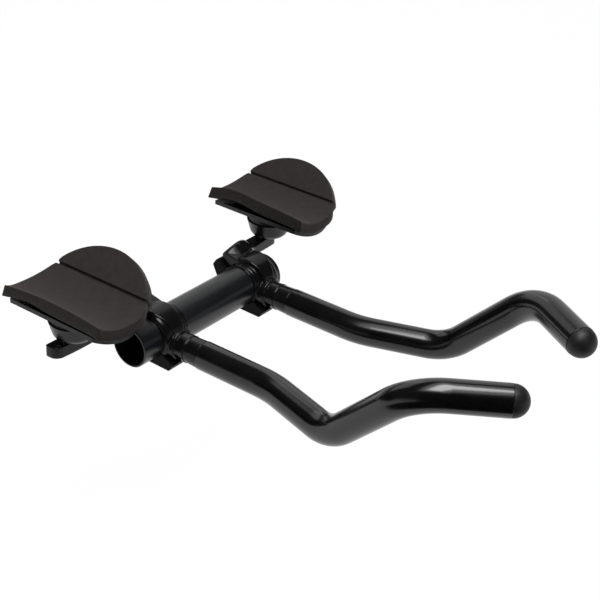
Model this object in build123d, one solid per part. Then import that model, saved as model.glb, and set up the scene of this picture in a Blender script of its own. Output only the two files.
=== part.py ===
import os
from math import acos, atan2, cos, degrees, hypot, radians, sin, tan

from build123d import *

os.makedirs("parts", exist_ok=True)

# Fits between pieces
BOND_GAP = 0.3
SPLIT_GAP = 1.0
SCREW_CLEARANCE = 0.3
SCREW_SHORT = 1.0
PILE_GAP = 0.3

# Cutting blocks reach past every piece
FAR = 400.0

# Base bar
BAR_R = 15.9
BAR_WALL = 1.5
BAR_CHAMFER = 0.3
BAR_LEFT_END = 72.8
BAR_RIGHT_END = -86.3

# Clamp, split by a plane through the bar axis
SPLIT_ANGLE = 32.0
CLAMP_Y = 53.3
CLAMP_WIDTH = 27.0
RING_R = 20.0
RING_ROUND = 3.6
RING_EDGE = 0.8
CAP_R = 20.3
EAR_REACH = 28.8
EAR_END = 6.4
EAR_ROUND = 1.6
LUG_REACH = 27.2
LUG_HEIGHT = 8.0
LUG_ROUND = 3.0
LUG_WIDTH = 22.8

# Strap that runs from the nose over the ring
STRAP_R = 21.2
STRAP_NARROW = 7.5
STRAP_WIDE = 19.0
STRAP_SHIFT = 2.3
STRAP_ROUND = 0.9
STRAP_KNEE = 6.7

# Thin stepped lip of the ring towards its inner end
LIP_R = 16.9
STEP_PITCH = 3.2
STEP_HEIGHT = 0.5
STEP_COUNT = 3

# Clamp and armrest screws
SCREW_R = 2.5
HEAD_R = 4.25
HEAD_H = 5.0
LOW_HEAD_H = 2.4
HEAD_CHAMFER = 0.5
SOCKET_WIDTH = 4.0
SOCKET_DEPTH = 0.5
CLAMP_SCREW_S = 23.0
CLAMP_SEAT = 4.8
ARMREST_SCREW_R = 2.5
ARMREST_HEAD_R = 4.75
CLAMP_THREAD = 5.0
THREAD_RELIEF = 0.8

# Nose of the bracket: collar, two tapered bands and the spigot
NOSE_Z = -4.0
COLLAR_R = 12.0
COLLAR_END = 22.5
COLLAR_CHAMFER = 0.8
BAND_SMALL_R = 10.3
BAND_LARGE_R = 10.8
BAND_1_END = 31.0
BAND_2_END = 43.5
SPIGOT_LENGTH = 28.0

# Extension tube, axis corners and bend radii
TUBE_R = 11.1
TUBE_WALL = 1.5
TUBE_CHAMFER = 0.4
FLARE_X = 106.0
FLARE_RUN = 65.9
FLARE_OUT = 21.2
FLARE_UP = 1.8
RISE_RUN = 62.2
RISE_OUT = 6.7
RISE_UP = 63.7
GRIP_TURN = 33.8
GRIP_LENGTH = 61.2
FLARE_BEND = 74.0
RISE_BEND = 37.5
GRIP_BEND = 42.0

# End plug
PLUG_R = 10.9
PLUG_SPIGOT = 14.0
PLUG_EDGE = 0.5

# Arm behind the bar and the neck that leads to it
ARM_X = -34.4
ARM_TOP = 4.6
ARM_WIDTH = 14.1
ARM_OFFSET = 1.1
ARM_THICK = 9.0
ARM_START = 95.0
ARM_END = 129.0
ARM_EDGE = 1.6
ARM_REAR_CORNER = 2.5
ARM_FRONT_CORNER = 7.0
ARM_TAPER = 2.2
INNER_HOLE = 107.0
OUTER_HOLE = 121.0
NECK_ROOT = (-16.4, 46.0, 15.6)
NECK_SHOULDER = (-17.0, 64.0, 18.5)
NECK_MIDDLE = (-25.0, 79.0, 11.0)
NECK_WIDTH = 14.0
NECK_THICK = 8.0
NECK_EDGE = 3.6
NECK_TURN = (-0.35, 0.9, -0.15)
NECK_DIVE = (-0.45, 0.74, -0.5)

# Armrest riser
RISER_BASE_R = 9.0
RISER_BELLY_R = 16.5
RISER_BELLY_H = 6.5
RISER_BELLY_ROUND = 8.25
RISER_TOP_R = 19.0
RISER_H = 15.1

# Armrest tray and pad, measured from the armrest screw centre
EDGE_Y = -26.6
DISH_Y = 3.0
FOLD_Y = 28.9
EDGE_Z = 44.5
DISH_Z = 33.0
FOLD_Z = 39.3
FLANK_TILT = 43.0
FLANK_REACH = 26.0
FLANK_HALF = 43.8
FOLD_HALF = 46.3
PAD_HALF = 51.5
EDGE_FRONT = 50.5
EDGE_REAR = 41.5
PAD_THICK = 8.0
PAD_CORNER = 2.0
TAPE_CORNER = 4.0
PAD_GROOVE = 1.6
PAD_GROOVE_DEPTH = 2.0
TAPE_THICK = 1.0
TAPE_LENGTH = 62.0
TAPE_WIDTH = 30.0
FLANK_TAPE_LENGTH = 48.0
FLANK_TAPE_WIDTH = 9.0
TRAY_THICK = 3.0
TRAY_INSET = 2.0
TRAY_TRIM = 5.0
BOSS_R = 17.5
ARMREST_SEAT = 1.2

# Directions of the clamp: along the split and towards the cap
ALONG = Vector(cos(radians(SPLIT_ANGLE)), 0, -sin(radians(SPLIT_ANGLE)))
TO_CAP = Vector(-sin(radians(SPLIT_ANGLE)), 0, -cos(radians(SPLIT_ANGLE)))
CLAMP_IN = CLAMP_Y - CLAMP_WIDTH / 2
HALF_GAP = SPLIT_GAP / 2


def save(shape, name):
    export_step(shape, f"parts/{name}.step")


def save_pair(shape, name):
    save(shape, f"left_{name}")
    save(mirror(shape, about=Plane.XZ), f"right_{name}")


def tangent_point(x, y, r):
    reach = hypot(x, y)
    side = 1 if x > 0 else -1
    angle = atan2(y, x) + side * acos(r / reach)
    return (r * cos(angle), r * sin(angle))


def clamp_plane(y):
    return Plane(origin=(0, y, 0), x_dir=ALONG, z_dir=(0, 1, 0))


def screw_plane(s, m):
    origin = ALONG * s + TO_CAP * m + Vector(0, CLAMP_Y, 0)
    return Plane(origin=origin, x_dir=(0, 1, 0), z_dir=-TO_CAP)


def rod(plane, r, start, end):
    return plane.offset(start) * extrude(Circle(r), end - start)


def socket_screw(r, shank, head_r, head_h):
    body = extrude(Circle(r), shank)
    head = extrude(Circle(head_r), -head_h)
    head = chamfer(head.edges().group_by(Axis.Z)[0], HEAD_CHAMFER)
    flats = SOCKET_WIDTH / 2 / cos(radians(30))
    socket = Pos(0, 0, -head_h) * extrude(RegularPolygon(flats, 6), SOCKET_DEPTH * head_h)
    return body + head - socket


# Base bar, an open tube
bar_length = BAR_LEFT_END - BAR_RIGHT_END
bar_plane = Plane(origin=(0, BAR_RIGHT_END, 0), z_dir=(0, 1, 0))
bar = bar_plane * extrude(Circle(BAR_R) - Circle(BAR_R - BAR_WALL), bar_length)
bar = chamfer(bar.edges().filter_by(GeomType.CIRCLE), BAR_CHAMFER)
save(bar, "base_bar")

# Cap: half ring with two ears whose backs run tangent to the ring
front_touch = tangent_point(EAR_REACH, EAR_END, CAP_R)
rear_touch = tangent_point(-EAR_REACH, EAR_END, CAP_R)
ears = Polygon(
    (EAR_REACH, HALF_GAP), (EAR_REACH, EAR_END), front_touch, rear_touch,
    (-EAR_REACH, EAR_END), (-EAR_REACH, HALF_GAP), align=None,
)
ears = fillet([v for v in ears.vertices() if abs(v.X) > CAP_R and v.Y > HALF_GAP], EAR_ROUND)
beyond_split = Pos(0, HALF_GAP) * Rectangle(FAR, FAR, align=(Align.CENTER, Align.MIN))
cap_face = (Circle(CAP_R) & beyond_split) + ears - Circle(BAR_R)
cap = clamp_plane(CLAMP_IN) * extrude(cap_face, CLAMP_WIDTH)
for s in (-CLAMP_SCREW_S, CLAMP_SCREW_S):
    seat = screw_plane(s, CLAMP_SEAT)
    cap -= rod(seat, SCREW_R + SCREW_CLEARANCE, -CAP_R, CLAMP_SEAT)
    cap -= rod(seat, HEAD_R + SCREW_CLEARANCE, -CAP_R, 0)
save_pair(cap, "clamp_cap")

# Clamp screws, one in each ear
shank = CLAMP_SEAT + HALF_GAP + CLAMP_THREAD
clamp_screw = socket_screw(SCREW_R, shank, HEAD_R, HEAD_H)
clamp_screws = [screw_plane(s, CLAMP_SEAT) * clamp_screw for s in (-CLAMP_SCREW_S, CLAMP_SCREW_S)]
save_pair(Compound(children=clamp_screws), "clamp_bolts")

# Bracket ring: half a turned ring with a stepped lip, and a tall rear lug
lug_touch = tangent_point(-LUG_REACH, LUG_HEIGHT, LIP_R)
lug = Polygon(
    (0, HALF_GAP), lug_touch, (-LUG_REACH, LUG_HEIGHT), (-LUG_REACH, HALF_GAP), align=None,
)
lug = fillet(lug.vertices().sort_by(Axis.X)[:2].sort_by(Axis.Y)[-1], LUG_ROUND)
ring_plane = Plane(origin=(0, CLAMP_IN + CLAMP_WIDTH, 0), x_dir=ALONG, z_dir=(0, -1, 0))
body_y = CLAMP_IN + STEP_COUNT * STEP_PITCH
outline = [(0, CLAMP_IN)]
for i in range(STEP_COUNT):
    outline.append((LIP_R + i * STEP_HEIGHT, CLAMP_IN + i * STEP_PITCH))
    outline.append((LIP_R + i * STEP_HEIGHT, CLAMP_IN + (i + 1) * STEP_PITCH))
outline += [(RING_R, body_y), (RING_R, CLAMP_IN + CLAMP_WIDTH), (0, CLAMP_IN + CLAMP_WIDTH)]
ring_face = Polygon(*outline, align=None)
ring_face = fillet(ring_face.vertices().group_by(Axis.X)[-1].sort_by(Axis.Y)[-1], RING_ROUND)
ring_face = fillet(ring_face.vertices().group_by(Axis.X)[-1].sort_by(Axis.Y)[0], RING_EDGE)
bracket_side = ring_plane * extrude(beyond_split, FAR, both=True)
ring = (revolve(ring_face, Axis.Y) & bracket_side) + ring_plane * extrude(lug, LUG_WIDTH)

# Strap: a band on the ring that widens from the nose towards the top
strap_plane = Plane(origin=(0, CLAMP_Y, 0), x_dir=ALONG, z_dir=-TO_CAP)
strap_outline = Polygon(
    (RING_R, -STRAP_NARROW / 2), (RING_R, STRAP_NARROW / 2),
    (-STRAP_KNEE, STRAP_WIDE / 2 + STRAP_SHIFT), (-RING_R, STRAP_WIDE / 2 + STRAP_SHIFT),
    (-RING_R, STRAP_SHIFT - STRAP_WIDE / 2), (-STRAP_KNEE, STRAP_SHIFT - STRAP_WIDE / 2), align=None,
)
strap_band = ring_plane * extrude(Circle(STRAP_R) & beyond_split, CLAMP_WIDTH)
strap = strap_band & strap_plane * extrude(strap_outline, FAR)
crest = strap.faces().filter_by(GeomType.CYLINDER)[0]
strap = fillet([edge for edge in crest.edges() if edge.geom_type != GeomType.LINE], STRAP_ROUND)

# Nose: collar, bands and spigot turned about the tube axis
nose_plane = Plane(origin=(0, CLAMP_Y, NOSE_Z), x_dir=(0, 1, 0), z_dir=(1, 0, 0))
nose_profile = Polygon(
    (0, 0), (COLLAR_R, 0), (COLLAR_R, COLLAR_END - COLLAR_CHAMFER),
    (COLLAR_R - COLLAR_CHAMFER, COLLAR_END), (BAND_SMALL_R, COLLAR_END),
    (BAND_LARGE_R, BAND_1_END), (BAND_SMALL_R, BAND_1_END),
    (BAND_LARGE_R, BAND_2_END), (TUBE_R - TUBE_WALL - BOND_GAP, BAND_2_END),
    (TUBE_R - TUBE_WALL - BOND_GAP, BAND_2_END + SPIGOT_LENGTH), (0, BAND_2_END + SPIGOT_LENGTH),
    align=None,
)
nose = nose_plane * revolve(Plane.XZ * nose_profile, Axis.Z)
cap_side = Plane(origin=TO_CAP * -HALF_GAP, x_dir=ALONG, z_dir=TO_CAP)
nose -= cap_side * extrude(Rectangle(FAR, FAR), FAR)

# Neck and arm: rounded sections lofted from the ring out to the arm
arm_z = ARM_TOP - ARM_THICK / 2
arm_mid = ARM_X - ARM_OFFSET
half_turn = (ALONG + Vector(1, 0, 0)).normalized()
root = Plane(origin=NECK_ROOT, x_dir=ALONG, z_dir=(0, 1, 0))
shoulder = Plane(origin=NECK_SHOULDER, x_dir=ALONG, z_dir=NECK_TURN)
middle = Plane(origin=NECK_MIDDLE, x_dir=half_turn, z_dir=NECK_DIVE)
straight = Plane(origin=(arm_mid, ARM_START, arm_z), x_dir=(1, 0, 0), z_dir=(0, 1, 0))
neck_section = RectangleRounded(NECK_WIDTH, NECK_THICK, NECK_EDGE)
arm_section = RectangleRounded(ARM_WIDTH, ARM_THICK, ARM_EDGE)
neck = loft([root * neck_section, shoulder * neck_section, middle * neck_section, straight * arm_section])
arm = straight * extrude(arm_section, ARM_END - ARM_START)
rear_edge = arm_mid - ARM_WIDTH / 2
front_edge = arm_mid + ARM_WIDTH / 2
arm_plan = Polygon(
    (rear_edge, 0), (front_edge, 0), (front_edge, ARM_START),
    (front_edge - ARM_TAPER, ARM_END), (rear_edge, ARM_END), align=None,
)
arm_plan = fillet(arm_plan.vertices().group_by(Axis.Y)[-1].sort_by(Axis.X)[-1], ARM_FRONT_CORNER)
arm_plan = fillet(arm_plan.vertices().group_by(Axis.Y)[-1].sort_by(Axis.X)[0], ARM_REAR_CORNER)
arm = arm & extrude(arm_plan, FAR, both=True)

bracket = ring + strap + nose + neck + arm
bracket -= Plane(origin=(0, 0, 0), z_dir=(0, 1, 0)) * extrude(Circle(BAR_R), FAR)
for s in (-CLAMP_SCREW_S, CLAMP_SCREW_S):
    bracket -= rod(screw_plane(s, -HALF_GAP), SCREW_R, -SPLIT_GAP, CLAMP_THREAD + THREAD_RELIEF)
for hole_y in (INNER_HOLE, OUTER_HOLE):
    bracket -= rod(Plane((ARM_X, hole_y, 0)), ARMREST_SCREW_R, -FAR, ARM_TOP)
save_pair(bracket, "bracket")

# Extension: a tube swept along straight runs joined by tangent bends
start = Vector(BAND_2_END, CLAMP_Y, NOSE_Z)
flare_corner = Vector(FLARE_X, CLAMP_Y, NOSE_Z)
rise_corner = flare_corner + Vector(FLARE_RUN, FLARE_OUT, FLARE_UP)
grip_corner = rise_corner + Vector(RISE_RUN, RISE_OUT, RISE_UP)
grip_dir = Vector(cos(radians(GRIP_TURN)), -sin(radians(GRIP_TURN)), 0)
tube_end = grip_corner + grip_dir * GRIP_LENGTH


def bend(before, corner, after, r):
    u = (corner - before).normalized()
    v = (after - corner).normalized()
    half = acos(u.dot(v)) / 2
    inward = (v - u).normalized()
    middle_point = corner + inward * (r / cos(half) - r)
    return corner - u * r * tan(half), middle_point, corner + v * r * tan(half)


flare = bend(start, flare_corner, rise_corner, FLARE_BEND)
rise = bend(flare_corner, rise_corner, grip_corner, RISE_BEND)
grip = bend(rise_corner, grip_corner, tube_end, GRIP_BEND)
path = Wire([
    Edge.make_line(start, flare[0]),
    Edge.make_three_point_arc(*flare),
    Edge.make_line(flare[2], rise[0]),
    Edge.make_three_point_arc(*rise),
    Edge.make_line(rise[2], grip[0]),
    Edge.make_three_point_arc(*grip),
    Edge.make_line(grip[2], tube_end),
])
tube_plane = Plane(origin=start, x_dir=(0, 1, 0), z_dir=(1, 0, 0))
tube = sweep(tube_plane * (Circle(TUBE_R) - Circle(TUBE_R - TUBE_WALL)), path=path)
end_rims = tube.edges().sort_by_distance(tube_end)[:2]
tube = chamfer(end_rims.sort_by(lambda rim: rim.length)[-1], TUBE_CHAMFER)
save_pair(tube, "extension")

# End plug: a dome with a small edge round and a spigot in the tube
plug_plane = Plane(origin=tube_end, z_dir=grip_dir)
with BuildSketch(Plane.XZ) as plug_profile:
    with BuildLine():
        Polyline(
            (0, -PLUG_SPIGOT), (TUBE_R - TUBE_WALL - BOND_GAP, -PLUG_SPIGOT),
            (TUBE_R - TUBE_WALL - BOND_GAP, 0), (PLUG_R, 0), (PLUG_R, PLUG_EDGE),
        )
        CenterArc((0, PLUG_EDGE), PLUG_R, start_angle=0, arc_size=90)
        Line((0, PLUG_EDGE + PLUG_R), (0, -PLUG_SPIGOT))
    make_face()
save_pair(plug_plane * revolve(plug_profile.sketch, Axis.Z), "end_plug")

# Riser: a turned bowl
with BuildSketch(Plane.XZ) as riser_profile:
    with BuildLine():
        Line((0, 0), (RISER_BASE_R, 0))
        RadiusArc((RISER_BASE_R, 0), (RISER_BELLY_R, RISER_BELLY_H), -RISER_BELLY_ROUND)
        Polyline((RISER_BELLY_R, RISER_BELLY_H), (RISER_TOP_R, RISER_H), (0, RISER_H), (0, 0))
    make_face()
riser = Pos(0, 0, ARM_TOP) * revolve(riser_profile.sketch, Axis.Z)
riser -= rod(Plane.XY, ARMREST_SCREW_R + SCREW_CLEARANCE, 0, FAR)

# Dish of the armrest: an arc through edge, bottom and fold, then a straight flank
dish = Edge.make_three_point_arc((0, EDGE_Y, EDGE_Z), (0, DISH_Y, DISH_Z), (0, FOLD_Y, FOLD_Z))
dish_centre = dish.arc_center
dish_r = dish.radius
fold_slope = degrees(atan2(FOLD_Y - dish_centre.Y, dish_centre.Z - FOLD_Z))
mitre = (FLANK_TILT - fold_slope) / 2
tilt = radians(FLANK_TILT)
dish_plane = Plane(origin=(0, 0, 0), x_dir=(0, 1, 0), z_dir=(1, 0, 0))


def dish_band(top, bottom):
    lean = radians(FLANK_TILT - mitre)
    centre = Pos(dish_centre.Y, dish_centre.Z)
    ring_face = centre * (Circle(dish_r + bottom) - Circle(dish_r + top))
    keep = Polygon(
        (FOLD_Y - sin(lean) * FAR, FOLD_Z + cos(lean) * FAR),
        (FOLD_Y + sin(lean) * FAR, FOLD_Z - cos(lean) * FAR),
        (-FAR, FOLD_Z - cos(lean) * FAR), (-FAR, dish_centre.Z), align=None,
    )
    low = Pos(0, dish_centre.Z) * Rectangle(2 * FAR, FAR, align=(Align.CENTER, Align.MAX))
    return dish_plane * extrude(ring_face & keep & low, FAR, both=True)


def flank_plate(top, bottom, reach):
    shift = -tan(radians(mitre))
    points = []
    for t, along in ((top, top * shift), (top, reach), (bottom, reach), (bottom, bottom * shift)):
        y = FOLD_Y + cos(tilt) * along + sin(tilt) * t
        z = FOLD_Z + sin(tilt) * along - cos(tilt) * t
        points.append((y, z))
    return dish_plane * extrude(Polygon(*points, align=None), FAR, both=True)


def dish_prism(inset, trim):
    edge_y = EDGE_Y + inset
    front = EDGE_FRONT - inset - trim
    rear = inset - EDGE_REAR
    side = PAD_HALF - inset
    fold = FOLD_HALF - inset - trim / 2
    with BuildSketch() as plan:
        with BuildLine():
            Line((rear, edge_y), (front, edge_y))
            ThreePointArc((front, edge_y), (side, DISH_Y), (fold, FOLD_Y))
            Polyline((fold, FOLD_Y), (fold, 2 * FOLD_Y), (-fold, 2 * FOLD_Y), (-fold, FOLD_Y))
            ThreePointArc((-fold, FOLD_Y), (-side, DISH_Y), (rear, edge_y))
        make_face()
        fillet(plan.vertices().group_by(Axis.Y)[0], PAD_CORNER)
    return extrude(plan.sketch, FAR)


def flank_prism(inset):
    plane = Plane(origin=(0, FOLD_Y, FOLD_Z), x_dir=(1, 0, 0), z_dir=(0, -sin(tilt), cos(tilt)))
    half = FLANK_HALF - inset
    with BuildSketch() as outline:
        with BuildLine():
            Polyline((-half, 0), (-half, -FLANK_REACH), (half, -FLANK_REACH), (half, 0))
            ThreePointArc((half, 0), (0, FLANK_REACH - inset), (-half, 0))
        make_face()
    return plane * extrude(outline.sketch, FAR, both=True)


def folded_sheet(top, bottom, inset, trim):
    trough = dish_band(top, bottom) & dish_prism(inset, trim)
    flank = flank_plate(top, bottom, FLANK_REACH + inset) & flank_prism(inset)
    return trough + flank


tape_top = PAD_THICK + PILE_GAP
tray_top = tape_top + TAPE_THICK
tray_bottom = tray_top + TRAY_THICK
riser_top = ARM_TOP + RISER_H
seat_z = riser_top + ARMREST_SEAT

# Tray: folded sheet with a boss that stands on the riser
boss = Plane((0, 0, riser_top)) * extrude(Circle(BOSS_R), DISH_Z - riser_top)
under_top = dish_band(tray_top, FAR)
tray = folded_sheet(tray_top, tray_bottom, TRAY_INSET, TRAY_TRIM) + (boss & under_top)
tray -= rod(Plane.XY, ARMREST_SCREW_R + SCREW_CLEARANCE, 0, FAR)
tray -= rod(Plane.XY, ARMREST_HEAD_R + SCREW_CLEARANCE, seat_z, FAR)

# Hook tapes: one strip in the trough and one on the flank
trough_strip = extrude(Pos(0, DISH_Y) * RectangleRounded(TAPE_LENGTH, TAPE_WIDTH, TAPE_CORNER), FAR)
trough_tape = dish_band(tape_top, tray_top) & trough_strip
flank_mid = FLANK_REACH / 2
flank_spot = Plane(origin=(0, FOLD_Y, FOLD_Z), x_dir=(1, 0, 0), z_dir=(0, -sin(tilt), cos(tilt)))
flank_shape = Pos(0, flank_mid) * RectangleRounded(FLANK_TAPE_LENGTH, FLANK_TAPE_WIDTH, TAPE_CORNER)
flank_strip = flank_spot * extrude(flank_shape, FAR, both=True)
flank_tape = flank_plate(tape_top, tray_top, FLANK_REACH) & flank_strip

# Pad: folded sheet of foam with a groove along the fold
pad = folded_sheet(0, PAD_THICK, 0, 0)
groove_box = Box(FAR, PAD_GROOVE, 2 * PAD_GROOVE_DEPTH)
pad -= Pos(0, FOLD_Y, FOLD_Z) * Rot(FLANK_TILT - mitre, 0, 0) * groove_box

# Armrest screw, down through tray and riser into the arm
armrest_shank = ARMREST_SEAT + RISER_H + ARM_THICK - SCREW_SHORT
armrest_screw = socket_screw(ARMREST_SCREW_R, armrest_shank, ARMREST_HEAD_R, LOW_HEAD_H)
armrest_screw = Pos(0, 0, seat_z) * Rot(180, 0, 0) * armrest_screw

# Both armrests face the same way, so they use different holes of the arms
for name, y in (("left", OUTER_HOLE), ("right", -INNER_HOLE)):
    place = Pos(ARM_X, y, 0)
    save(place * riser, f"{name}_armrest_riser")
    save(place * tray, f"{name}_armrest_tray")
    save(Compound(children=[place * trough_tape, place * flank_tape]), f"{name}_hook_tape")
    save(place * pad, f"{name}_armrest_pad")
    save(place * armrest_screw, f"{name}_armrest_screw")
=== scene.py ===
# %% [markdown]
# A pair of aero handlebar extensions, dressed for a studio picture.
# The exact solids come from the CAD model and are loaded as a fixed frame.
# This lesson adds what solids cannot show: soft foam pads, finishes and light.

# %% Load the frame
from math import asin, atan2, cos, exp, hypot, pi, radians, sin, sqrt

import bpy
from mathutils import Matrix, Vector


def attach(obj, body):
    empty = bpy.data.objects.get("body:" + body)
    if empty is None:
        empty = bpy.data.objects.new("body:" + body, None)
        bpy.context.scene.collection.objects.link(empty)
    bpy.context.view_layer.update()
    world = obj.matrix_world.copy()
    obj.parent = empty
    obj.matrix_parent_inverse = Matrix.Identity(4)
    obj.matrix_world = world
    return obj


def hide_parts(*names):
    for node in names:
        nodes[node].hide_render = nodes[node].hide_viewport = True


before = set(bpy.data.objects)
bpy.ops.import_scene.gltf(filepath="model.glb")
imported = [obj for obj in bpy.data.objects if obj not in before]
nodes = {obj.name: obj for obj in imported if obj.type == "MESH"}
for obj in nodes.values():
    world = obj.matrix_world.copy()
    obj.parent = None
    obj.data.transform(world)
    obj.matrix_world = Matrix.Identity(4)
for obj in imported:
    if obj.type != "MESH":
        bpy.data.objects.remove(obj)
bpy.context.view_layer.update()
print("nodes:", len(nodes))

# %% [markdown]
# The camera stands in front of the right-hand grip and looks down on the bar.
# A long lens keeps the two tubes almost parallel, as a product photographer likes it.
# A camera is often aimed with a tracking constraint, but then a small roll is hard to set.
# Here it is set by two directions instead, and the third follows from them.

# %% Camera
CAMERA_PLACE = Vector((0.5622, -0.6737, 0.5003))
CAMERA_RIGHT = Vector((0.7978, 0.6003, 0.0560))
CAMERA_UP = Vector((-0.3339, 0.3627, 0.8700))
LENS, SENSOR, NEAREST = 78.2, 36.0, 0.01
camera_data = bpy.data.cameras.new("camera")
camera_data.lens = LENS
camera_data.sensor_width = SENSOR
camera_data.clip_start = NEAREST
camera = bpy.data.objects.new("camera", camera_data)
bpy.context.collection.objects.link(camera)
right = CAMERA_RIGHT.normalized()
back = right.cross(CAMERA_UP).normalized()
up = back.cross(right)
turn = Matrix((right, up, back)).transposed().to_4x4()
camera.matrix_world = Matrix.Translation(CAMERA_PLACE) @ turn
bpy.context.scene.camera = camera
print("camera at", [round(c, 3) for c in CAMERA_PLACE], "with a lens of", LENS, "mm")

# %% [markdown]
# A finish is a material, and one Principled shader can show nearly every real surface.
# Its values could be set by hand in the shader editor, but a function does it alike for each finish.
# A value that is the same all over a surface goes straight onto the shader, where an exporter finds it.

# %% Start a finish
SIDES = ("left", "right")


def grey(value):
    return value, value, value


def start_finish(name, colour, roughness, specular=0.5):
    finish = bpy.data.materials.new(name)
    finish.use_nodes = True
    tree = finish.node_tree
    shader = tree.nodes["Principled BSDF"]
    shader.inputs["Base Color"].default_value = (*colour, 1)
    shader.inputs["Roughness"].default_value = roughness
    shader.inputs["Specular IOR Level"].default_value = specular
    return finish, tree, shader


def wear(piece, finish):
    piece.data.materials.clear()
    piece.data.materials.append(finish)


def wear_both(name, finish):
    for side in SIDES:
        wear(nodes[f"{side}_{name}"], finish)
    print("both pieces called", name, "wear", finish.name)


print("pieces that wait for a finish:", len(nodes))

# %% [markdown]
# No real surface is one even tone, so noise gives each finish its clouds and grains.
# A painted image could do that too, but noise needs no unwrapping and has no seams on a bent tube.
# Object space is in metres here, so a noise scale of 1000 gives grains of about a millimetre.

# %% Noise in object space
MM = 0.001


def noise(tree, scale, detail=3.0, stretch=(1, 1, 1)):
    place = tree.nodes.new("ShaderNodeTexCoord")
    mapping = tree.nodes.new("ShaderNodeMapping")
    mapping.inputs["Scale"].default_value = stretch
    texture = tree.nodes.new("ShaderNodeTexNoise")
    texture.inputs["Scale"].default_value = scale
    texture.inputs["Detail"].default_value = detail
    tree.links.new(place.outputs["Object"], mapping.inputs["Vector"])
    tree.links.new(mapping.outputs["Vector"], texture.inputs["Vector"])
    return texture.outputs["Fac"]


print("a grain of one millimetre needs a noise scale of", round(1 / MM))

# %% [markdown]
# Paint, plastic and anodising vary in two ways: a little in tone, and a little in gloss.
# Noise mostly stays near its middle, so both helpers stretch that middle part over the wanted range.
# A ramp suits the tone, because it mixes two colours, and a plain range suits the gloss.

# %% Tone and gloss
RAMP_START, RAMP_END = 0.35, 0.65
GLOSS_START, GLOSS_END = 0.3, 0.7


def two_tones(tree, shader, dark, light, scale):
    ramp = tree.nodes.new("ShaderNodeValToRGB")
    ramp.color_ramp.elements[0].position = RAMP_START
    ramp.color_ramp.elements[1].position = RAMP_END
    ramp.color_ramp.elements[0].color = (*dark, 1)
    ramp.color_ramp.elements[1].color = (*light, 1)
    tree.links.new(noise(tree, scale), ramp.inputs["Fac"])
    tree.links.new(ramp.outputs["Color"], shader.inputs["Base Color"])
    return ramp.outputs["Color"]


def cloudy_gloss(tree, shader, low, high, scale, stretch=(1, 1, 1)):
    spread = tree.nodes.new("ShaderNodeMapRange")
    spread.inputs["From Min"].default_value = GLOSS_START
    spread.inputs["From Max"].default_value = GLOSS_END
    spread.inputs["To Min"].default_value = low
    spread.inputs["To Max"].default_value = high
    tree.links.new(noise(tree, scale, stretch=stretch), spread.inputs["Value"])
    tree.links.new(spread.outputs["Result"], shader.inputs["Roughness"])


print("noise from", RAMP_START, "to", RAMP_END, "covers the tones")
print("noise from", GLOSS_START, "to", GLOSS_END, "covers the gloss")

# %% [markdown]
# Fine grain catches light too, and no made edge is razor sharp.
# Both could be modelled, but grain this small would need millions of faces.
# So a Bump node tilts the shading, and a Bevel node rounds it at edges, by less than two millimetres.

# %% Relief
EDGE_SAMPLES = 8


def relief(tree, shader, height, strength, depth, edge=0.0):
    bump = tree.nodes.new("ShaderNodeBump")
    if edge:
        soft_edge = tree.nodes.new("ShaderNodeBevel")
        soft_edge.samples = EDGE_SAMPLES
        soft_edge.inputs["Radius"].default_value = edge
        tree.links.new(soft_edge.outputs["Normal"], bump.inputs["Normal"])
    bump.inputs["Strength"].default_value = strength
    bump.inputs["Distance"].default_value = depth
    tree.links.new(height, bump.inputs["Height"])
    tree.links.new(bump.outputs["Normal"], shader.inputs["Normal"])


print("relief takes", EDGE_SAMPLES, "samples at an edge")

# %% [markdown]
# The extension tubes are polished alloy under a hard black anodised skin.
# A coat over a dull base could show that gloss, but the skin is one thin layer, so the base is enough.
# It is smooth and mirrors softboxes as long streaks. Slow clouds in the gloss soften them here and there.

# %% Gloss tube
tube_finish, tree, shader = start_finish("gloss_tube", grey(0.002), roughness=0.16, specular=0.5)
two_tones(tree, shader, dark=(0.0015, 0.0014, 0.0014), light=(0.0026, 0.0024, 0.0024), scale=60)
cloudy_gloss(tree, shader, low=0.15, high=0.19, scale=40)
relief(tree, shader, noise(tree, 4000), strength=0.01, depth=0.1 * MM, edge=0.7 * MM)
wear_both("extension", tube_finish)

# %% [markdown]
# The brackets are forged, tumbled and painted.
# Modelled dents would be too coarse for that skin. Paint flows over a forging, so the relief is broad
# and faint like orange peel, with few fine octaves in its noise.
# Tumbling rounds the edges, so the Bevel node takes a larger radius here than anywhere else.

# %% Forged black
forged_finish, tree, shader = start_finish("forged_black", grey(0.003), roughness=0.2, specular=0.22)
two_tones(tree, shader, dark=(0.0026, 0.0025, 0.0025), light=(0.004, 0.0038, 0.0038), scale=120)
cloudy_gloss(tree, shader, low=0.15, high=0.2, scale=140)
relief(tree, shader, noise(tree, 500, detail=1.0), strength=0.03, depth=0.3 * MM, edge=1.6 * MM)
wear_both("bracket", forged_finish)

# %% [markdown]
# The clamp caps are sawn from an extruded bar and painted matt.
# The bracket's finish could serve for both, but a cap faces the floor and would mirror it too brightly.
# A rougher surface with little specular light keeps it as dark as matt paint is.

# %% Cap black
cap_finish, tree, shader = start_finish("cap_black", grey(0.002), roughness=0.45, specular=0.06)
two_tones(tree, shader, dark=grey(0.0015), light=grey(0.003), scale=200)
cloudy_gloss(tree, shader, low=0.4, high=0.52, scale=200)
relief(tree, shader, noise(tree, 2000), strength=0.05, depth=0.2 * MM, edge=0.6 * MM)
wear_both("clamp_cap", cap_finish)

# %% [markdown]
# The base bar is bead blasted before it is anodised, so it is duller than the tubes and slightly blue.
# An anisotropic shader could draw its satin, but blasting leaves no direction to follow.
# The clouds in its gloss are stretched along the bar, as a wiping cloth leaves them.

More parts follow.
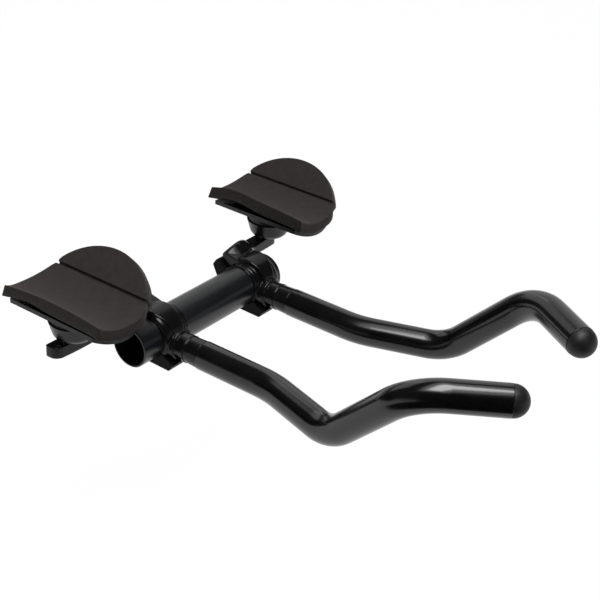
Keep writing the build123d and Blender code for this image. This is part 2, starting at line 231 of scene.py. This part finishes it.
# %% Satin bar
ALONG_BAR = (1, 0.2, 1)
bar_finish, tree, shader = start_finish("satin_bar", (0.003, 0.0034, 0.0042), roughness=0.3, specular=0.46)
two_tones(tree, shader, dark=(0.0025, 0.0029, 0.0037), light=(0.0036, 0.004, 0.0048), scale=80)
cloudy_gloss(tree, shader, low=0.27, high=0.34, scale=160, stretch=ALONG_BAR)
relief(tree, shader, noise(tree, 3000), strength=0.06, depth=0.2 * MM)
wear(nodes["base_bar"], bar_finish)
print("the bar wears", bar_finish.name)

# %% [markdown]
# The screws are blackened steel: a thin oxide on metal, so the shader is metallic but dark.
# Black paint would look different: a highlight on paint has the lamp's colour, and metal tints its own.
# Fine speckles of a lighter grey are places where a key has rubbed the oxide.

# %% Black steel screws
screw_finish, tree, shader = start_finish("black_steel", (0.05, 0.05, 0.053), roughness=0.4)
shader.inputs["Metallic"].default_value = 1.0
two_tones(tree, shader, dark=(0.035, 0.035, 0.038), light=(0.09, 0.09, 0.095), scale=900)
cloudy_gloss(tree, shader, low=0.32, high=0.5, scale=600)
wear_both("clamp_bolts", screw_finish)
wear_both("armrest_screw", screw_finish)

# %% [markdown]
# The end plugs are moulded in rubber-like plastic, with a fine spark texture from the mould.
# The texture is under a tenth of a millimetre deep, so bump shows it and the dome stays a plain solid.
# It scatters the highlight into a wide soft spot, quite unlike the streak on the tube beside it.

# %% Plug
plug_finish, tree, shader = start_finish("plug_black", grey(0.005), roughness=0.45, specular=0.3)
two_tones(tree, shader, dark=grey(0.004), light=grey(0.007), scale=300)
cloudy_gloss(tree, shader, low=0.42, high=0.56, scale=400)
relief(tree, shader, noise(tree, 3500, detail=1.0), strength=0.12, depth=0.2 * MM, edge=1.2 * MM)
wear_both("end_plug", plug_finish)

# %% [markdown]
# The riser and the tray of an armrest are injection moulded.
# One plastic could serve both, but their moulds differ: the riser's is polished and the tray's is etched.
# So the riser is glossy, and the tray is a satin grey that catches the light of the floor from below.

# %% Moulded riser and tray
riser_finish, tree, shader = start_finish("riser_black", grey(0.002), roughness=0.3, specular=0.35)
two_tones(tree, shader, dark=grey(0.0016), light=grey(0.003), scale=150)
cloudy_gloss(tree, shader, low=0.28, high=0.38, scale=250)
relief(tree, shader, noise(tree, 1800), strength=0.05, depth=0.2 * MM)
wear_both("armrest_riser", riser_finish)

tray_finish, tree, shader = start_finish("tray_grey", grey(0.009), roughness=0.38, specular=0.3)
two_tones(tree, shader, dark=grey(0.007), light=grey(0.012), scale=200)
cloudy_gloss(tree, shader, low=0.36, high=0.5, scale=300)
relief(tree, shader, noise(tree, 2200), strength=0.08, depth=0.2 * MM)
wear_both("armrest_tray", tray_finish)

# %% [markdown]
# Hook tape is a field of tiny nylon hooks that holds the pad on its tray.
# Thousands of modelled hooks would be heavy, and the pad hides nearly all of them.
# A Voronoi pattern gives cells of under a millimetre, and their bump gives the pile.

# %% Hook tape
HOOKS_PER_METRE = 1400
hook_finish, tree, shader = start_finish("hook_tape", grey(0.012), roughness=0.8)
place = tree.nodes.new("ShaderNodeTexCoord")
cells = tree.nodes.new("ShaderNodeTexVoronoi")
cells.inputs["Scale"].default_value = HOOKS_PER_METRE
tree.links.new(place.outputs["Object"], cells.inputs["Vector"])
two_tones(tree, shader, dark=grey(0.008), light=grey(0.02), scale=900)
relief(tree, shader, cells.outputs["Distance"], strength=0.6, depth=0.4 * MM)
wear_both("hook_tape", hook_finish)

# %% [markdown]
# The pads are closed cell foam, skinned in the mould: matt, warm and very finely grained.
# Foam scatters light, so its edges look soft. Subsurface scattering could show that, but on so dark
# a foam it would hardly be seen, and a little warm sheen is enough.
# The sides and underside get painted shade: their colour darkens as the surface turns from facing up to
# sideways and down.
# Two materials could part them, but the height of the surface normal does it without a hard line.

# %% Foam
SIDE_HEIGHT, FACE_HEIGHT = 0.25, 0.6
# share of the colour kept on the sides and underside, as painted shade
SIDE_PAINTED_SHADE = 0.62
foam_finish, tree, shader = start_finish("pad_foam", (0.0155, 0.0123, 0.0114), roughness=0.9, specular=0.2)
shader.inputs["Sheen Weight"].default_value = 0.06
shader.inputs["Sheen Roughness"].default_value = 0.5
shader.inputs["Sheen Tint"].default_value = (1, 0.85, 0.8, 1)
skin = two_tones(tree, shader, dark=(0.0136, 0.0107, 0.0099), light=(0.0174, 0.0139, 0.0129), scale=220)
place = tree.nodes.new("ShaderNodeTexCoord")
upright = tree.nodes.new("ShaderNodeSeparateXYZ")
# Painted shade: the base colour darkens where the pad faces sideways or down.
painted_side_shade = tree.nodes.new("ShaderNodeMapRange")
painted_side_shade.inputs["From Min"].default_value = SIDE_HEIGHT
painted_side_shade.inputs["From Max"].default_value = FACE_HEIGHT
painted_side_shade.inputs["To Min"].default_value = SIDE_PAINTED_SHADE
painted_side_shade.inputs["To Max"].default_value = 1.0
darken = tree.nodes.new("ShaderNodeVectorMath")
darken.operation = "SCALE"
tree.links.new(place.outputs["Normal"], upright.inputs["Vector"])
tree.links.new(upright.outputs["Z"], painted_side_shade.inputs["Value"])
tree.links.new(skin, darken.inputs["Vector"])
tree.links.new(painted_side_shade.outputs["Result"], darken.inputs["Scale"])
tree.links.new(darken.outputs["Vector"], shader.inputs["Base Color"])
relief(tree, shader, noise(tree, 2600, detail=4.0), strength=0.25, depth=0.3 * MM)
print(foam_finish.name, "is ready for the pads")

# %% [markdown]
# A pad is one slab of foam, moulded as a trough with one flank folded up.
# Sculpting it would be quick, but its lines are plain: part of a cylinder, and a flat plate that ends
# in a wide arc. So it is worked out from a few sizes, in millimetres from the armrest screw.
# Points such as EDGE are a place across the pad and a height. Reaches run along it, front or rear.

# %% Pad sizes
PAD_THICK = 8.0
EDGE = (-26.6, 44.5)
BOTTOM = (3.0, 33.0)
FOLD = (28.3, 38.97)
EDGE_REAR, BOTTOM_REAR, FOLD_REAR = 42.3, 50.6, 46.6  # reach to the rear at those three places
REAR_DRAFT = 3.8  # how much further the underside reaches there
FRONT_REACH = 51.5
FRONT_BEND, FRONT_FALL, FRONT_POWER = 8.0, 7.0, 3.1  # where the front end turns back, how far, how late
CORNER = 1.2
TOP_ROUND, UNDER_ROUND = 0.8, 0.5
FLANK_HALF, FLANK_SHIFT = 44.9, -1.9  # half the length of the flank, and the shift of its middle
FLANK_TILT, FLANK_REACH = radians(43.0), 26.6
GROOVE, GROOVE_DEPTH, NOTCH = 2.5, 2.6, 1.1  # width, depth, and the nick at its rear end
print("a pad is", FRONT_REACH + BOTTOM_REAR, "mm long and", PAD_THICK, "mm thick")

# %% [markdown]
# Three measured points are enough for a round stretch, because one circle passes through them.
# The trough takes one such circle, seen along the pad, and its rear end another, seen from above.


# %% Circles of the trough
def circle_through(a, b, c):
    ax, ay, bx, by, cx, cy = *a, *b, *c
    d = 2 * (ax * (by - cy) + bx * (cy - ay) + cx * (ay - by))
    sa, sb, sc = ax * ax + ay * ay, bx * bx + by * by, cx * cx + cy * cy
    x = (sa * (by - cy) + sb * (cy - ay) + sc * (ay - by)) / d
    y = (sa * (cx - bx) + sb * (ax - cx) + sc * (bx - ax)) / d
    return x, y, hypot(ax - x, ay - y)


trough_y, trough_z, trough_r = circle_through(EDGE, BOTTOM, FOLD)
rear_ends = [(EDGE[0], EDGE_REAR), (BOTTOM[0], BOTTOM_REAR), (FOLD[0], FOLD_REAR)]
rear_y, rear_x, rear_r = circle_through(*rear_ends)
edge_angle = atan2(EDGE[0] - trough_y, trough_z - EDGE[1])
fold_angle = atan2(FOLD[0] - trough_y, trough_z - FOLD[1])
trough_length = trough_r * (fold_angle - edge_angle)
print("trough radius %.1f mm, length %.1f mm" % (trough_r, trough_length))

# %% [markdown]
# The straight edge of a real pad is not quite straight, because foam bends where the tray lets go of it.
# It crowns in the middle, droops at the rear and is thinner between the two, where a pad may also curl up.
# A lattice or proportional editing could bend it by hand. A formula for the lift is easier to repeat,
# and takes a curl of its own for each pad.

# %% Crown of the straight edge
CROWN_SPAN, CROWN, CROWN_SLOPE, CROWN_FALL = 45.0, 1.9, 1.1, 3.2
SETTLE = 0.6  # the share of the crown that the underside doesn't follow
CURL_PLACE, CURL_WIDTH = -20.0, 24.0
THIN_EDGE, THIN_WIDTH = 2.5, 16.0


def swell(x, width):
    return exp(-((x - CURL_PLACE) / width) ** 2)


def crown(x, y, depth, curl):
    towards_edge = max(0.0, (BOTTOM[0] - y) / (BOTTOM[0] - EDGE[0]))
    share = x / CROWN_SPAN
    under = depth / PAD_THICK
    lift = CROWN + CROWN_SLOPE * share - CROWN_FALL * share * share
    lift -= SETTLE * under * max(0.0, lift)
    lift += curl * swell(x, CURL_WIDTH) + THIN_EDGE * under * swell(x, THIN_WIDTH)
    return lift * towards_edge ** 2


print("the straight edge crowns by", CROWN, "mm and thins by", THIN_EDGE, "mm")

# %% [markdown]
# The slab is a grid of rows and columns. A function gives the place of any point of the trough:
# u runs along the pad from -1 to 1, s across it from 0 to 1.
# It also takes a depth below the face and an inset from the rim, so calling it again with other depths
# makes the rounded rim and the underside from the same grid, and nothing has to be joined later.


# %% Places in the trough
def notch(u):
    return NOTCH if u < 0 else 0.0


def trough_half(u, y):
    if u < 0:
        return rear_x + sqrt(rear_r ** 2 - (y - rear_y) ** 2)
    past_bend = max(0.0, (y - FRONT_BEND) / (FOLD[0] - FRONT_BEND))
    return FRONT_REACH - FRONT_FALL * past_bend ** FRONT_POWER


def trough_point(u, s, inset, depth, curl):
    reach = trough_length - GROOVE / 2
    angle = edge_angle + (inset + s * (reach - inset)) / trough_r
    y = trough_y + trough_r * sin(angle)
    z = trough_z - sqrt((trough_r + depth) ** 2 - (y - trough_y) ** 2)
    half = trough_half(u, y) - inset
    half += REAR_DRAFT * depth / PAD_THICK if u < 0 else 0.0
    near_edge = max(0.0, CORNER - (y - EDGE[0]))
    half -= CORNER - sqrt(max(0.0, CORNER ** 2 - near_edge ** 2))
    near_fold = max(0.0, 1 - (FOLD[0] - y) / (2 * GROOVE))
    half -= notch(u) * near_fold ** 2
    return half * u, y, z + crown(half * u, y, depth, curl)


middle = trough_point(0, 0.5, 0, 0, 0)
print("middle of the trough at", [round(c, 1) for c in middle])

# %% [markdown]
# The flank is a segment of a circle, which has no corners for a square grid.
# A fan of triangles would fill it, but fans shade badly and their points crowd at the hub.
# Squeezing a square into a half disc, then the half disc into the segment, keeps the faces even.


# %% Places on the flank
def flank_point(u, v, inset, depth):
    half, reach = FLANK_HALF - inset, FLANK_REACH - inset
    disc_x, disc_y = u * sqrt(1 - v * v / 2), v * sqrt(1 - u * u / 2)
    share, turn_angle = hypot(disc_x, disc_y), atan2(disc_y, disc_x)
    segment_r = (half * half + reach * reach) / (2 * reach)
    start = asin((segment_r - reach) / segment_r)
    angle = start + turn_angle / pi * (pi - 2 * start)
    x = FLANK_SHIFT + share * segment_r * cos(angle)
    along = share * (segment_r * sin(angle) - segment_r + reach)
    near_fold = max(0.0, 1 - along / (2 * GROOVE))
    x -= u * notch(u) * near_fold ** 2
    along = GROOVE / 2 + along * (1 - GROOVE / 2 / FLANK_REACH)
    y = FOLD[0] + cos(FLANK_TILT) * along + sin(FLANK_TILT) * depth
    z = FOLD[1] + sin(FLANK_TILT) * along - cos(FLANK_TILT) * depth
    return x, y, z


top = flank_point(0, 1, 0, 0)
print("top of the flank at", [round(c, 1) for c in top])

# %% [markdown]
# Trough and flank meet in a groove, where the mould pinches the foam so that it folds.
# Cutting it with a boolean would leave ragged faces. Two rows of points between the two grids, pushed
# down along the line that halves the fold, make it with clean ones.


# %% Places in the groove
def groove_point(u, side, inset, depth):
    lean = (fold_angle + FLANK_TILT) / 2
    deep = GROOVE_DEPTH + depth * (1 - GROOVE_DEPTH / PAD_THICK)
    half = FLANK_HALF - inset - notch(u)
    y = FOLD[0] + cos(lean) * side * GROOVE / 4 + sin(lean) * deep
    z = FOLD[1] + sin(lean) * side * GROOVE / 4 - cos(lean) * deep
    return FLANK_SHIFT + half * u, y, z


print("groove", GROOVE, "mm wide and", GROOVE_DEPTH, "mm deep")

# %% [markdown]
# Now the three kinds of rows become one grid, and its outline becomes one loop.
# Rows of the trough crowd a little towards the straight edge, where the crown bends them most.

# %% Grid and outline
COLUMNS, TROUGH_ROWS, FLANK_ROWS = 56, 34, 20
CROWDING = 1.15
columns = [2 * k / COLUMNS - 1 for k in range(COLUMNS + 1)]
trough_rows = [(i / TROUGH_ROWS) ** CROWDING for i in range(TROUGH_ROWS + 1)]
flank_rows = [i / FLANK_ROWS for i in range(FLANK_ROWS + 1)]


def grid_points(inset, depth, curl):
    grid = [[trough_point(u, s, inset, depth, curl) for u in columns] for s in trough_rows]
    grid += [[groove_point(u, side, inset, depth) for u in columns] for side in (-1, 1)]
    grid += [[flank_point(u, v, inset, depth) for u in columns] for v in flank_rows]
    return grid


def rim(grid):
    last, end = len(grid) - 1, COLUMNS
    loop = [(0, k) for k in range(end)] + [(j, end) for j in range(last)]
    loop += [(last, k) for k in range(end, 0, -1)] + [(j, 0) for j in range(last, 0, -1)]
    return [grid[j][k] for j, k in loop]


print("outline of", len(rim(grid_points(0, 0, 0))), "points")

# %% [markdown]
# The rim is a ladder of loops, each one the outline of the grid at a new depth and inset.
# A Bevel modifier would round it too, but not evenly where the rim turns sharp corners.
# Each rung joins to the next with quads, and face and underside are quads of their own grids.

# %% Rim and faces
RIM_STEPS = 4


def rim_steps():
    steps = []
    for step in range(1, RIM_STEPS + 1):
        angle = step / RIM_STEPS * pi / 2
        steps.append((TOP_ROUND * (1 - sin(angle)), TOP_ROUND * (1 - cos(angle))))
    return steps + [(0, PAD_THICK / 2), (0, PAD_THICK - UNDER_ROUND)]


def pad_faces(face, under, ladder):
    faces = []
    for upper, lower in zip(ladder, ladder[1:]):
        for i in range(len(upper)):
            j = (i + 1) % len(upper)
            faces.append((upper[i], lower[i], lower[j], upper[j]))
    for j in range(len(face) - 1):
        for k in range(COLUMNS):
            faces.append((face[j][k], face[j][k + 1], face[j + 1][k + 1], face[j + 1][k]))
            faces.append((under[j][k], under[j + 1][k], under[j + 1][k + 1], under[j][k + 1]))
    return faces


print("rungs between face and underside:", len(rim_steps()))

# %% [markdown]
# Last the slab is put together: face, underside and rim become one closed mesh.
# Smooth shading suits foam. It could be left at that, but then cut edges would look molten,
# so edges sharper than a set angle stay crisp.

# %% Build a pad
SHARP_DEGREES = 50


def build_pad(name, centre, curl):
    points = []

    def add(place):
        points.append(tuple(MM * (c + o) for c, o in zip(place, centre)))
        return len(points) - 1

    def add_grid(inset, depth):
        return [[add(p) for p in row] for row in grid_points(inset, depth, curl)]

    face = add_grid(TOP_ROUND, 0)
    under = add_grid(UNDER_ROUND, PAD_THICK)
    ladder = [rim(face)]
    for inset, depth in rim_steps():
        ladder.append([add(p) for p in rim(grid_points(inset, depth, curl))])
    ladder.append(rim(under))
    mesh = bpy.data.meshes.new(name)
    mesh.from_pydata(points, [], pad_faces(face, under, ladder))
    mesh.update()
    mesh.shade_smooth()
    mesh.set_sharp_from_angle(angle=radians(SHARP_DEGREES))
    pad = bpy.data.objects.new(name, mesh)
    bpy.context.collection.objects.link(pad)
    return pad


print("edges stay crisp above", SHARP_DEGREES, "degrees")

# %% [markdown]
# Both pads face the same way, so one recipe is placed twice, each over the screw of its own armrest.
# A linked copy would save memory, but the left pad curls up more at its straight edge.
# Each pad stands in for the plain CAD pad, which stays behind for collisions, hidden.

# %% Place the pads
SCREW_X = -34.4
SCREW_Y = {"left": 121.0, "right": -107.0}
CURL = {"left": 3.5, "right": 0.0}
for side in SIDES:
    pad = build_pad(f"{side}_foam_pad", (SCREW_X, SCREW_Y[side], 0), CURL[side])
    wear(pad, foam_finish)
    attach(pad, "root")
    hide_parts(f"{side}_armrest_pad")
    print(pad.name, len(pad.data.polygons), "faces")

# %% [markdown]
# A studio backdrop should look white without throwing more light on the object.
# A brighter lamp on it could do that, but its light would spill onto the object.
# So only the camera, and surfaces that mirror it or let it through, see it as a plain glow.
# The Light Path node tells such rays apart, and the largest of its three answers is the one to use.

# %% Rays that see the backdrop
MIRROR_RAYS = ("Is Glossy Ray", "Is Transmission Ray")


def seen_directly(tree):
    path = tree.nodes.new("ShaderNodeLightPath")
    total = path.outputs["Is Camera Ray"]
    for ray in MIRROR_RAYS:
        either = tree.nodes.new("ShaderNodeMath")
        either.operation = "MAXIMUM"
        tree.links.new(total, either.inputs[0])
        tree.links.new(path.outputs[ray], either.inputs[1])
        total = either.outputs[0]
    return total


print("kinds of rays that see the backdrop, with the camera's:", 1 + len(MIRROR_RAYS))

# %% [markdown]
# The stage is a wide pale floor, a little below the object, so that its shadow is soft.
# A shadow catcher would need compositing. Here most of the floor that the camera sees is glow, and the
# small rest is its real shading, which keeps the shadow.

# %% Floor
FLOOR_Z, FLOOR_HALF = -0.16, 6.0
GLOW_SHARE = 0.97


def flat_sheet(name, corners, finish):
    mesh = bpy.data.meshes.new(name)
    mesh.from_pydata(corners, [], [(0, 1, 2, 3)])
    sheet = bpy.data.objects.new(name, mesh)
    bpy.context.collection.objects.link(sheet)
    wear(sheet, finish)
    return sheet


floor_finish, tree, shader = start_finish("floor_white", grey(0.9), roughness=0.9, specular=0.0)
share = tree.nodes.new("ShaderNodeMath")
share.operation = "MULTIPLY"
share.inputs[1].default_value = GLOW_SHARE
tree.links.new(seen_directly(tree), share.inputs[0])
glow = tree.nodes.new("ShaderNodeEmission")
glow.inputs["Color"].default_value = (1, 1, 1, 1)
mix = tree.nodes.new("ShaderNodeMixShader")
tree.links.new(share.outputs[0], mix.inputs["Fac"])
tree.links.new(shader.outputs["BSDF"], mix.inputs[1])
tree.links.new(glow.outputs["Emission"], mix.inputs[2])
tree.links.new(mix.outputs["Shader"], tree.nodes["Material Output"].inputs["Surface"])
corners = [(-FLOOR_HALF, -FLOOR_HALF, FLOOR_Z), (FLOOR_HALF, -FLOOR_HALF, FLOOR_Z)]
corners += [(FLOOR_HALF, FLOOR_HALF, FLOOR_Z), (-FLOOR_HALF, FLOOR_HALF, FLOOR_Z)]
floor = flat_sheet("floor", corners, floor_finish)
print("floor at", FLOOR_Z)

# %% [markdown]
# The world is a studio sweep where it is seen directly: white at the horizon, dark towards the ceiling.
# A picture of a real studio could light it, but a ramp over the height of a direction is easier to tune.
# Matt surfaces get an even grey room instead, which fills the shadows softly.

# %% World
ROOM_STRENGTH = 0.45
SWEEP_TOP = 0.22
CEILING = (0.04, 0.04, 0.043)
world = bpy.data.worlds.new("white_room")
bpy.context.scene.world = world
world.use_nodes = True
tree = world.node_tree
soft_room = tree.nodes["Background"]
soft_room.inputs["Color"].default_value = (1, 1, 1, 1)
soft_room.inputs["Strength"].default_value = ROOM_STRENGTH
direction = tree.nodes.new("ShaderNodeTexCoord")
height = tree.nodes.new("ShaderNodeSeparateXYZ")
sweep = tree.nodes.new("ShaderNodeValToRGB")
sweep.color_ramp.elements[0].position = 0.0
sweep.color_ramp.elements[0].color = (1, 1, 1, 1)
sweep.color_ramp.elements[1].position = SWEEP_TOP
sweep.color_ramp.elements[1].color = (*CEILING, 1)
tree.links.new(direction.outputs["Generated"], height.inputs["Vector"])
tree.links.new(height.outputs["Z"], sweep.inputs["Fac"])
white_room = tree.nodes.new("ShaderNodeBackground")
tree.links.new(sweep.outputs["Color"], white_room.inputs["Color"])
mix = tree.nodes.new("ShaderNodeMixShader")
tree.links.new(seen_directly(tree), mix.inputs["Fac"])
tree.links.new(soft_room.outputs["Background"], mix.inputs[1])
tree.links.new(white_room.outputs["Background"], mix.inputs[2])
tree.links.new(mix.outputs["Shader"], tree.nodes["World Output"].inputs["Surface"])
print("world", world.name)

# %% [markdown]
# Black gloss shows nothing but its surroundings, so the light is shaped by what the tubes mirror.
# A wide softbox overhead with a brighter core draws the long streaks on both tubes.
# Two more, from the left and from the rear, give the top of the bar and the far grip their soft bands.
# Point lamps would only leave hard dots, so all four are area lamps.


# %% Softboxes
def softbox(name, place, aim, width, depth, power):
    data = bpy.data.lights.new(name, "AREA")
    data.shape = "RECTANGLE"
    data.size, data.size_y, data.energy = width, depth, power
    lamp = bpy.data.objects.new(name, data)
    bpy.context.collection.objects.link(lamp)
    lamp.location = place
    lamp.rotation_euler = (Vector(aim) - Vector(place)).to_track_quat("-Z", "Y").to_euler()
    print("softbox", name, power, "W")


softbox("overhead", (0.24, -0.15, 1.1), (0.24, -0.15, 0.0), width=0.95, depth=1.35, power=7.5)
softbox("overhead_core", (0.23, -0.24, 1.09), (0.23, -0.24, 0.0), width=0.46, depth=0.86, power=12.0)
softbox("side_left", (-1.1, 0.35, 0.88), (0.25, 0.05, 0.05), width=1.0, depth=0.75, power=2.3)
softbox("rear_left", (-0.63, 1.29, 0.9), (0.0, 0.0, 0.0), width=1.55, depth=1.15, power=4.9)

# %% [markdown]
# Polished black needs something black to mirror, or the white floor turns its sides grey.
# Photographers stand black cards beside the set for that, and so does this scene.
# The cards show in reflections only: the camera does not see them, and they neither shade nor colour
# the light. Two stand upright, and one lies just above the floor in front of the grips.

# %% Black cards
CARD_LIFT = 0.005
card_finish, tree, shader = start_finish("card_black", grey(0.004), roughness=1.0, specular=0.0)


def black_card(name, corners):
    card = flat_sheet(name, corners, card_finish)
    card.visible_camera = card.visible_diffuse = card.visible_shadow = False
    print("card", name)


def upright_card(name, start, end, low, high):
    black_card(name, [(*start, low), (*end, low), (*end, high), (*start, high)])


def lying_card(name, outline):
    black_card(name, [(x, y, FLOOR_Z + CARD_LIFT) for x, y in outline])


upright_card("front_card", (1.9, -1.0), (0.2, -2.2), low=-0.15, high=1.6)
lying_card("floor_card", [(-0.35, -0.75), (1.1, -2.5), (2.6, -1.2), (0.8, 0.2)])
upright_card("left_card", (-1.68, -0.12), (-1.15, -1.75), low=0.03, high=0.62)

# %% [markdown]
# Last come the view settings: Standard shows a colour about as it is written.

# %% Finish
bpy.context.scene.view_settings.view_transform = "Standard"
